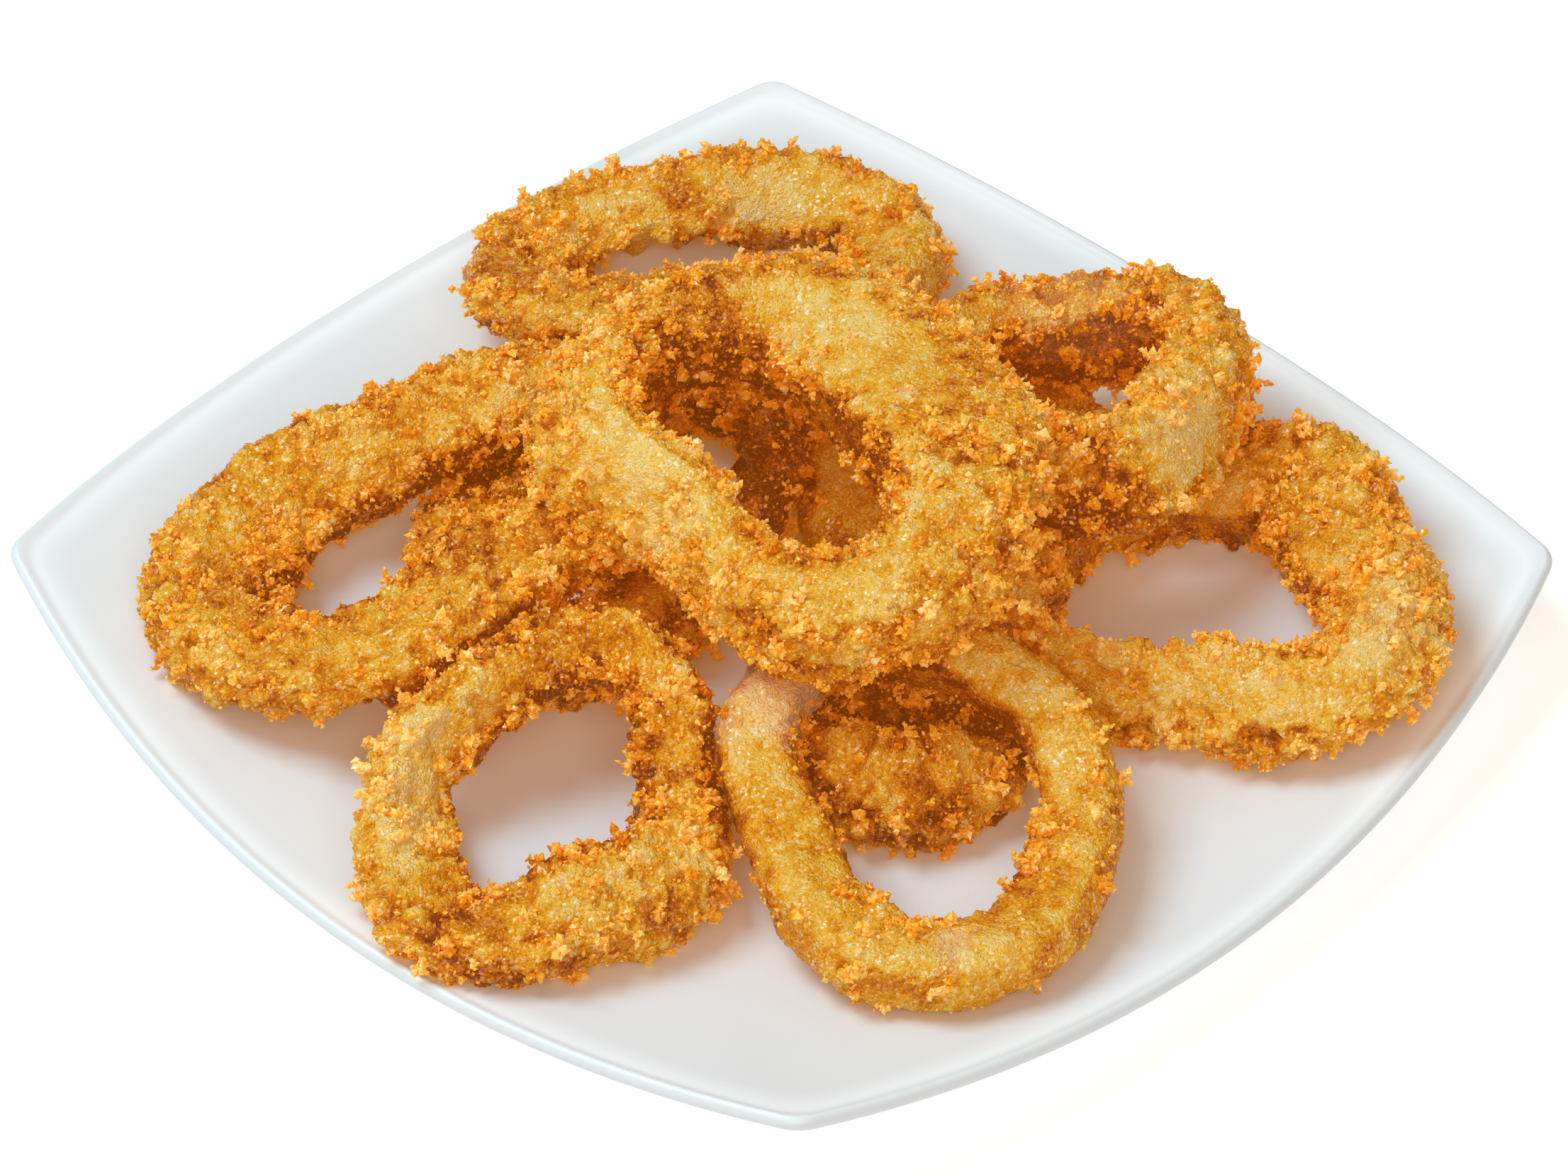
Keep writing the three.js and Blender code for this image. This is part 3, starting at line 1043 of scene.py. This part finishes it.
        # Painted shade: places that face a close neighbouring ring are toned browner.
        tone = tone + self.contact_shade_tone * self.contact_shade(plain, normals)
        tone = np.clip(tone, 0.0, 1.0)
        onion = self.onion_share * self.patch_weight(plain, Spot.ONION)
        rows, columns = plain.shape[:2]
        faces = grid_faces(rows, columns, rows_wrap=True)
        coat = make_mesh(f"{ring.node}_coat", points.reshape(-1, 3), faces, smooth=True)
        add_values(coat, "tone", tone)
        add_values(coat, "onion", onion)
        coat.data.materials.append(crumb)
        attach(coat, BODY)
        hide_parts(ring.node)
        scatter = CrumbScatter(points, grid_normals(points), tone, cover, ring.salt)
        crumbs = scatter.build(f"{ring.node}_crumbs", ring.spacing)
        crumbs.data.materials.append(loose)
        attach(crumbs, BODY)
        return [coat, crumbs]


OCTAHEDRON_FACES = np.array([
    (0, 2, 4), (2, 1, 4), (1, 3, 4), (3, 0, 4),
    (2, 0, 5), (1, 2, 5), (3, 1, 5), (0, 3, 5),
])


def octahedron() -> Array:
    """The six corners of an octahedron of radius 1."""
    return np.array([(1, 0, 0), (-1, 0, 0), (0, 1, 0), (0, -1, 0), (0, 0, 1), (0, 0, -1)], float)


@dataclass
class CrumbScatter:
    """Loose crumbs on a coat: single grains and clumps of grains.

    Their numbers for a square centimetre are those of full cover. A crumb that would pass the
    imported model's box, or lie deep in the china, is left out.
    """

    points: Array
    normals: Array
    tone: Array
    cover: Array
    salt: int
    grains_per_cm2: float = 62.0
    clumps_per_cm2: float = 6.4
    grains_in_clump: int = 11
    golden_tone: float = 0.16
    golden_share: float = 0.5
    largest_grain: float = 1.3
    grain_bias: float = 0.9
    clump_bias: float = 2.3
    smallest_single: float = 0.24
    single_spread: float = 0.5
    single_stand: float = 0.25
    overlap: float = 0.56
    deepest_in_china: float = 2.5

    def sites(self, count: int, bias: float, rng: np.random.Generator) -> Array:
        """Places on the coat, picked more often where the cover is thick."""
        weight = self.cover.ravel() ** bias
        return rng.choice(weight.size, size=count, p=weight / weight.sum())

    def blended(self, tone: Array) -> Array:
        """Tones of crumbs that stand on a coat of this tone, a little nearer to golden."""
        return tone + self.golden_share * (self.golden_tone - tone)

    def clump_steps(self, count: int, rng: np.random.Generator) -> tuple[Array, Array]:
        """Where each grain of a clump sits.

        Every grain overlaps an earlier one, more often one of the first and largest, and lies
        outward of it more often than not, so the clumps are compact teeth with ragged ends.

        Args:
            count: How many clumps.
            rng: Source of random numbers.

        Returns:
            Places in millimetres, with the third number outward, and the grains' half lengths.
        """
        taper = np.linspace(1.1, 0.42, self.grains_in_clump)
        size = taper * rng.uniform(0.7, 1.2, (count, self.grains_in_clump))
        size = np.minimum(size * rng.uniform(0.6, 1.45, (count, 1)), self.largest_grain)
        place = np.zeros((count, self.grains_in_clump, 3))
        every = np.arange(count)
        for grain in range(1, self.grains_in_clump):
            parent = (grain * rng.random(count) ** 1.7).astype(int)
            way = rng.normal(size=(count, 3)) + np.array([0.0, 0.0, 0.55])
            way /= np.linalg.norm(way, axis=-1, keepdims=True)
            reach = self.overlap * (size[:, grain] + size[every, parent])
            place[:, grain] = place[every, parent] + way * reach[:, None]
        return place, size

    def grain_shapes(self, half_length: Array, rng: np.random.Generator) -> Array:
        """Corners of jagged grains about their own middles, turned at random."""
        count = len(half_length)
        corners = octahedron()
        swell = 1.0 + 0.28 * rng.normal(size=(count, len(corners), 1)).clip(-1.5, 2.0)
        shape = corners[None] * swell * rng.uniform(0.55, 1.1, (count, 1, 3))
        axes = np.linalg.qr(rng.normal(size=(count, 3, 3)))[0]
        turn_over = np.linalg.det(axes) < 0
        axes[turn_over, 2] *= -1.0
        return np.einsum("nkc,ncd->nkd", shape, axes) * half_length[:, None, None]

    def grains(self, spacing: float, rng: np.random.Generator) -> tuple[Array, Array, Array]:
        """Middles, half lengths and tones of all grains, single and clumped.

        Args:
            spacing: Grid spacing of the coat.
            rng: Source of random numbers.

        Returns:
            Middles in millimetres, half lengths in millimetres and tones.
        """
        area = self.cover.sum() * spacing**2 / MM2_IN_CM2
        points = self.points.reshape(-1, 3)
        normals = self.normals.reshape(-1, 3)
        tone = self.tone.ravel()
        single = self.sites(int(area * self.grains_per_cm2), self.grain_bias, rng)
        single_size = self.smallest_single + self.single_spread * rng.random(len(single)) ** 2
        single_place = points[single] + normals[single] * (self.single_stand * single_size)[:, None]
        clump = self.sites(int(area * self.clumps_per_cm2), self.clump_bias, rng)
        steps, clump_size = self.clump_steps(len(clump), rng)
        up = normals[clump]
        side = np.cross(up, rng.normal(size=up.shape))
        side /= np.linalg.norm(side, axis=-1, keepdims=True)
        basis = np.stack([side, np.cross(up, side), up], axis=1)
        clump_place = points[clump][:, None] + np.einsum("ngc,ncd->ngd", steps, basis)
        clump_tone = self.blended(tone[clump]) + rng.normal(scale=0.09, size=len(clump))
        clump_tone = clump_tone[:, None] - 0.02 * steps[..., 2]
        middles = np.concatenate([single_place, clump_place.reshape(-1, 3)])
        middles = middles + rng.uniform(-0.5, 0.5, middles.shape) * spacing
        tones = np.concatenate([self.blended(tone[single]), clump_tone.ravel()])
        sizes = np.concatenate([single_size, clump_size.ravel()])
        return middles, sizes, tones + rng.normal(scale=0.08, size=len(tones))

    def build(self, name: str, spacing: float) -> bpy.types.Object:
        """Makes all loose crumbs of one ring as one mesh.

        Args:
            name: The piece's name.
            spacing: Grid spacing of the coat.

        Returns:
            The crumbs.
        """
        rng = np.random.default_rng(1000 + self.salt)
        middles, sizes, tones = self.grains(spacing, rng)
        shapes = self.grain_shapes(sizes, rng) + middles[:, None]
        low, high = np.array(CAD_BOX) / MM
        kept = np.all((shapes > low) & (shapes < high), axis=(1, 2))
        kept &= Plate().depth(shapes).max(axis=1) < self.deepest_in_china
        shapes, tones = shapes[kept], tones[kept]
        faces = OCTAHEDRON_FACES[None] + 6 * np.arange(len(shapes))[:, None, None]
        piece = make_mesh(name, shapes.reshape(-1, 3), faces.reshape(-1, 3), smooth=False)
        add_values(piece, "tone", np.repeat(np.clip(tones, 0.0, 1.0), 6))
        add_values(piece, "onion", np.zeros(6 * len(shapes)))
        return piece


def patched(**kinds: list[tuple[float, ...]]) -> tuple[Patch, ...]:
    """Patches listed by kind, each as degrees round the ring, degrees round its section, reach, strength."""
    return tuple(Patch(Spot[kind.upper()], *spot) for kind, spots in kinds.items() for spot in spots)


def heap() -> list[Ring]:
    """The ten rings, set out in the heap's own axes: X to the right corner, Y to the back one."""
    return [
        Ring("back_left_ring", (-13.7, 86.4, 22.8), Swing(9, 95), 28.6, 18.5, 12.9, -24.5,
             oval=Swing(0.34, 10), egg=Swing(0.04, 90), square=Swing(0.01, 25), wave=Swing(1.4, 75),
             wall_swing=Swing(0.06, 110), tall_swing=Swing(0.1, 345), flare_swing=Swing(19.6, 265), salt=100,
             look=Look(tone=0.48, crumbs=0.5, face_crumbs=0.12, edge_crumbs=0.25, face=Swing(37, 270),
                  patches=patched(
            pale=[(356, 78, 16, 0.35), (64, 114, 10)],
            smooth=[(356, 78, 16, 0.4)],
            toasted=[(105, 78, 7, 0.7), (198, 75, 12, 0.3)],
            dent=[(100, 190, 9), (120, 190, 9), (140, 190, 9)]))),
        Ring("top_ring", (-0.8, -1.2, 48.9), Swing(5.6, 223), 34.1, 20.3, 24.4, -12.3,
             oval=Swing(0.22, 128), egg=Swing(0.07, 53), square=Swing(0.03, 84), wave=Swing(2.2, 166),
             wall_swing=Swing(0.52, 18), tall_swing=Swing(0.15, 142), flare_swing=Swing(21.7, 318), salt=200,
             look=Look(tone=0.44, face_crumbs=0.15, face=Swing(37, 235), patches=patched(
            pale=[(204, 14, 18, 0.8), (240, 45, 16, 0.45), (48, 96, 18, 0.35)],
            smooth=[(210, 20, 14, 0.5)],
            crumby=[(272, 66, 16, 0.3), (332, 84, 24, 0.3)],
            toasted=[(272, 60, 14, 0.15), (313, 75, 14, 0.15), (118, 144, 20, 0.7), (15, 170, 16, 0.25)],
            onion=[(9, 105, 2.4, 0.6)],
            dent=[(328, 0, 12, 0.5)]))),
        Ring("left_long_ring", (-67.5, 5.5, 24.3), Swing(7.9, 167), 32.9, 23.0, 12.4, -15.6,
             oval=Swing(0.35, 37), egg=Swing(0.07, 32), square=Swing(0.03, 37), wave=Swing(1.7, 106),
             wall_swing=Swing(0.15, 215), tall_swing=Swing(0.11, 79), flare_swing=Swing(20.7, 308), salt=300,
             look=Look(tone=0.58, face_crumbs=0.4, face=Swing(20, 270), patches=patched(
            toasted=[(296, 81, 20, 0.5), (198, 84, 14, 0.3)],
            pale=[(246, 69, 16, 0.1)],
            dent=[(24, 12, 11), (150, 165, 12, 0.2), (128, 165, 12, 0.2), (108, 160, 12, 0.15),
                  (250, 130, 12, 0.22), (244, 354, 22, 0.15)]))),
        Ring("back_right_ring", (55.0, 33.0, 35.5), Swing(8, 105), 26.5, 13.0, 21.0, -26.0,
             egg=Swing(0.1, 35), wave=Swing(1.5, 175), wall_swing=Swing(0.15, 20),
             tall_swing=Swing(0.15, 20), flare_swing=Swing(18, 30), salt=400,
             look=Look(tone=0.46, face_crumbs=0.36, face=Swing(42, 312), patches=patched(
            pale=[(314, 14, 14, 0.6)],
            toasted=[(274, 340, 16, 0.9), (88, 130, 24, 0.22)],
            onion=[(88, 120, 18, 0.15)],
            dent=[(14, 57, 14, 0.2), (50, 90, 24, 0.1)]))),
        Ring("right_ring", (79.0, -5.5, 20.0), Swing(10, 165), 32.0, 18.5, 18.0, -21.0,
             oval=Swing(0.09, 140), egg=Swing(0.11, 70), square=Swing(0.06, 45), wave=Swing(3, 175),
             wall_swing=Swing(0.4, 40), tall_swing=Swing(0.15, 240), flare_swing=Swing(18, 130), salt=500,
             look=Look(tone=0.44, face_crumbs=0.35, face=Swing(32, 248), patches=patched(
            toasted=[(56, 90, 22, 0.5)],
            pale=[(266, 6, 20, 0.2), (321, 33, 18, 0.8), (105, 150, 18, 0.5)],
            onion=[(321, 33, 12, 0.15)],
            smooth=[(105, 170, 20, 0.5)],
            dent=[(115, 183, 12, 0.35), (97, 186, 12, 0.35), (272, 140, 9, 0.5), (356, 21, 12, 0.45),
                  (305, 336, 20, 0.15), (207, 150, 10, 0.7), (228, 140, 10, 0.7), (250, 140, 10, 0.6)]))),
        Ring("front_left_ring", (-43.1, -63.3, 20.3), Swing(9.6, 295), 27.2, 17.0, 13.1, -17.5,
             oval=Swing(0.17, 65), egg=Swing(0.04, 82), square=Swing(0.08, 65), wave=Swing(3, 95),
             wall_swing=Swing(0.21, 239), tall_swing=Swing(0.2, 31), flare_swing=Swing(20.1, 329), salt=600,
             look=Look(tone=0.44, face_crumbs=0.36, face=Swing(24, 300), patches=patched(
            pale=[(181, 63, 18, 1.0), (157, 54, 6)],
            toasted=[(88, 72, 20, 0.95), (16, 90, 20, 0.5), (254, 51, 20, 0.72)],
            dent=[(188, 125, 12, 0.28), (145, 110, 10, 0.3), (126, 150, 9, 0.3), (250, 115, 12, 0.25),
                  (310, 352, 14, -0.3)]))),
        Ring("front_right_ring", (24.0, -65.0, 22.5), Swing(8, 270), 32.0, 15.0, 12.0, -12.0,
             oval=Swing(0.14, 105), egg=Swing(0.06, 25), wave=Swing(1.5, 95), wall_swing=Swing(0.1, 280),
             flare_swing=Swing(16, 150), salt=700,
             look=Look(tone=0.49, crumbs=0.12, face_crumbs=0.0, inner_crumbs=0.2, edge_crumbs=0.1,
                  face=Swing(24, 256), patches=patched(
            toasted=[(180, 80, 20, 0.18)],
            onion=[(145, 105, 13, 0.5), (275, 80, 5, 0.4)],
            crumby=[(330, 150, 12, 0.4), (262, 350, 18, 0.4)],
            pale=[(266, 27, 18, 0.35)],
            dent=[(270, 6, 24, -0.13), (237, 29, 18, -0.1)]))),
        Ring("small_front_ring", (20.0, -40.0, 12.8), Swing(3, 280), 16.5, 13.0, 13.0,
             oval=Swing(0.07, 155), egg=Swing(0.07, 25), wall_swing=Swing(0.1, 20), salt=800,
             look=Look(tone=0.7, crumbs=0.85, face_crumbs=0.5, patches=patched(
            pale=[(90, 130, 14, 0.8)],
            dent=[(270, 145, 11, -0.7), (228, 155, 9, -0.5), (312, 155, 9, -0.5)]))),
        Ring("low_left_ring", (-32.5, 19.0, 14.2), Swing(5, 185), 29.1, 16.0, 13.0, -3.0,
             oval=Swing(0.31, 55), egg=Swing(0.03, 65), square=Swing(0.06, 70), wave=Swing(2.5, 25),
             wall_swing=Swing(0.2, 280), tall_swing=Swing(0.1, 310), flare_swing=Swing(9, 230), salt=900,
             spacing=0.5,
             look=Look(tone=0.62, face_pale=0.08, patches=patched(
            toasted=[(15, 90, 24, 0.9), (350, 60, 20, 0.6)],
            dent=[(6, 150, 11), (14, 160, 11), (22, 165, 11), (40, 168, 9, 0.6), (355, 40, 9, -0.35)]))),
        Ring("low_right_ring", (31.0, 39.0, 12.3), Swing(2, 175), 21.3, 15.0, 12.0,
             oval=Swing(0.15, 40), egg=Swing(0.14, 15), square=Swing(0.02, 25), wall_swing=Swing(0.1, 150),
             salt=950, spacing=0.5,
             look=Look(tone=0.46, crumbs=0.5, face_crumbs=0.05, face_pale=0.05, patches=patched(
            dent=[(228, 20, 10, -0.5)]))),
    ]


# ---- The studio --------------------------------------------------------------------------------


@dataclass(frozen=True)
class Softbox:
    """A square area light, placed in the heap's own axes and aimed at the middle of the plate."""

    name: str
    right: float
    away: float
    up: float
    side: float
    watts: float
    colour: Colour = (1.0, 1.0, 1.0)


@dataclass
class Studio:
    """A pale floor, a cool key light from the left, a warm fill from the front, and the camera."""

    focal_mm: float = 134.8
    distance: float = 1104.56
    elevation: float = 42.42
    azimuth: float = 42.93
    roll: float = 1.66
    aim_height: float = 14.0
    slide: tuple[float, float] = (0.15, 0.25)
    sky: float = 0.5
    sky_colour: Colour = (1.0, 0.80, 0.62)
    floor_reach: float = 4000.0
    floor_colour: Colour = (0.93, 0.93, 0.93)
    floor_roughness: float = 0.9
    floor_shine: float = 0.1
    floor_glow: float = 0.35
    boxes: tuple[Softbox, ...] = (
        Softbox("key_softbox", -0.55, 0.05, 1.0, 0.6, 9.0, (0.67, 0.91, 1.0)),
        Softbox("fill_softbox", 0.0, -1.15, 0.9, 0.9, 7.8, (1.0, 0.91, 0.80)),
    )

    def build_camera(self) -> None:
        """Places the camera by its azimuth, elevation, roll and distance from the plate's middle."""
        azimuth, elevation, roll = np.radians([self.azimuth, self.elevation, self.roll])
        back = np.array([
            np.sin(azimuth) * np.cos(elevation),
            -np.cos(azimuth) * np.cos(elevation),
            np.sin(elevation),
        ])
        level = np.array([np.cos(azimuth), np.sin(azimuth), 0.0])
        rise = np.cross(back, level)
        right = level * np.cos(roll) + rise * np.sin(roll)
        up = rise * np.cos(roll) - level * np.sin(roll)
        place = back * self.distance + right * self.slide[0] + up * self.slide[1]
        place[2] += self.aim_height
        data = bpy.data.cameras.new("camera")
        data.lens = self.focal_mm
        data.sensor_width = 36.0
        camera = bpy.data.objects.new("camera", data)
        turned = np.eye(4)
        turned[:3, 0], turned[:3, 1], turned[:3, 2], turned[:3, 3] = right, up, back, place * MM
        camera.matrix_world = Matrix(turned.tolist())
        bpy.context.scene.collection.objects.link(camera)
        bpy.context.scene.camera = camera

    def build_light(self, box: Softbox) -> None:
        """Makes one softbox, facing the plate's middle."""
        data = bpy.data.lights.new(box.name, "AREA")
        data.shape = "SQUARE"
        data.size = box.side
        data.energy = box.watts
        data.color = box.colour
        light = bpy.data.objects.new(box.name, data)
        flat = complex(box.right, box.away) * np.exp(1j * HEAP_TURN)
        place = np.array([flat.real, flat.imag, box.up])
        back = place / np.linalg.norm(place)
        level = np.cross(np.array([0.0, 0.0, 1.0]), back)
        level /= np.linalg.norm(level)
        turned = np.eye(4)
        turned[:3, 0], turned[:3, 1], turned[:3, 2] = level, np.cross(back, level), back
        turned[:3, 3] = place
        light.matrix_world = Matrix(turned.tolist())
        bpy.context.scene.collection.objects.link(light)

    def build_sky(self) -> None:
        """Even light from all round."""
        world = bpy.data.worlds.new("studio")
        world.use_nodes = True
        background = world.node_tree.nodes["Background"]
        background.inputs["Color"].default_value = (*self.sky_colour, 1.0)
        background.inputs["Strength"].default_value = self.sky
        bpy.context.scene.world = world

    def build_floor(self) -> None:
        """A pale floor under the plate."""
        points = self.floor_reach * np.array([(-1, -1, 0), (1, -1, 0), (1, 1, 0), (-1, 1, 0)])
        floor = make_mesh("floor", points, np.array([[0, 1, 2, 3]]), smooth=False)
        material, _, shader = new_material("pale_floor")
        set_inputs(shader, {
            "Base Color": opaque(self.floor_colour),
            "Roughness": self.floor_roughness,
            "Specular IOR Level": self.floor_shine,
            "Emission Color": opaque((1.0, 1.0, 1.0)),
            "Emission Strength": self.floor_glow,
        })
        floor.data.materials.append(material)

    def build(self) -> None:
        """Builds everything that isn't part of the side dish."""
        scene = bpy.context.scene
        scene.view_settings.view_transform = "Standard"
        scene.view_settings.look = "None"
        self.build_camera()
        self.build_sky()
        self.build_floor()
        for box in self.boxes:
            self.build_light(box)


# ---- All together ------------------------------------------------------------------------------


def main() -> None:
    """Builds the studio, the plate and the rings."""
    logging.basicConfig(level=logging.INFO, format="%(name)s: %(message)s")
    Studio().build()
    plate = Plate().build()
    log.info("%s: %d faces", plate.name, len(plate.data.polygons))
    grain = crumb_grain_group()
    coat_finish = CrumbFinish("fried_crumb_coat").material(grain)
    loose_finish = CrumbFinish("loose_fried_crumb", bump=0.15).material(grain)
    rings = heap()
    for ring in rings:
        coated = CoatedRing(ring, [other for other in rings if other is not ring])
        for piece in coated.build(coat_finish, loose_finish):
            log.info("%s: %d faces", piece.name, len(piece.data.polygons))


if __name__ == "__main__":
    main()
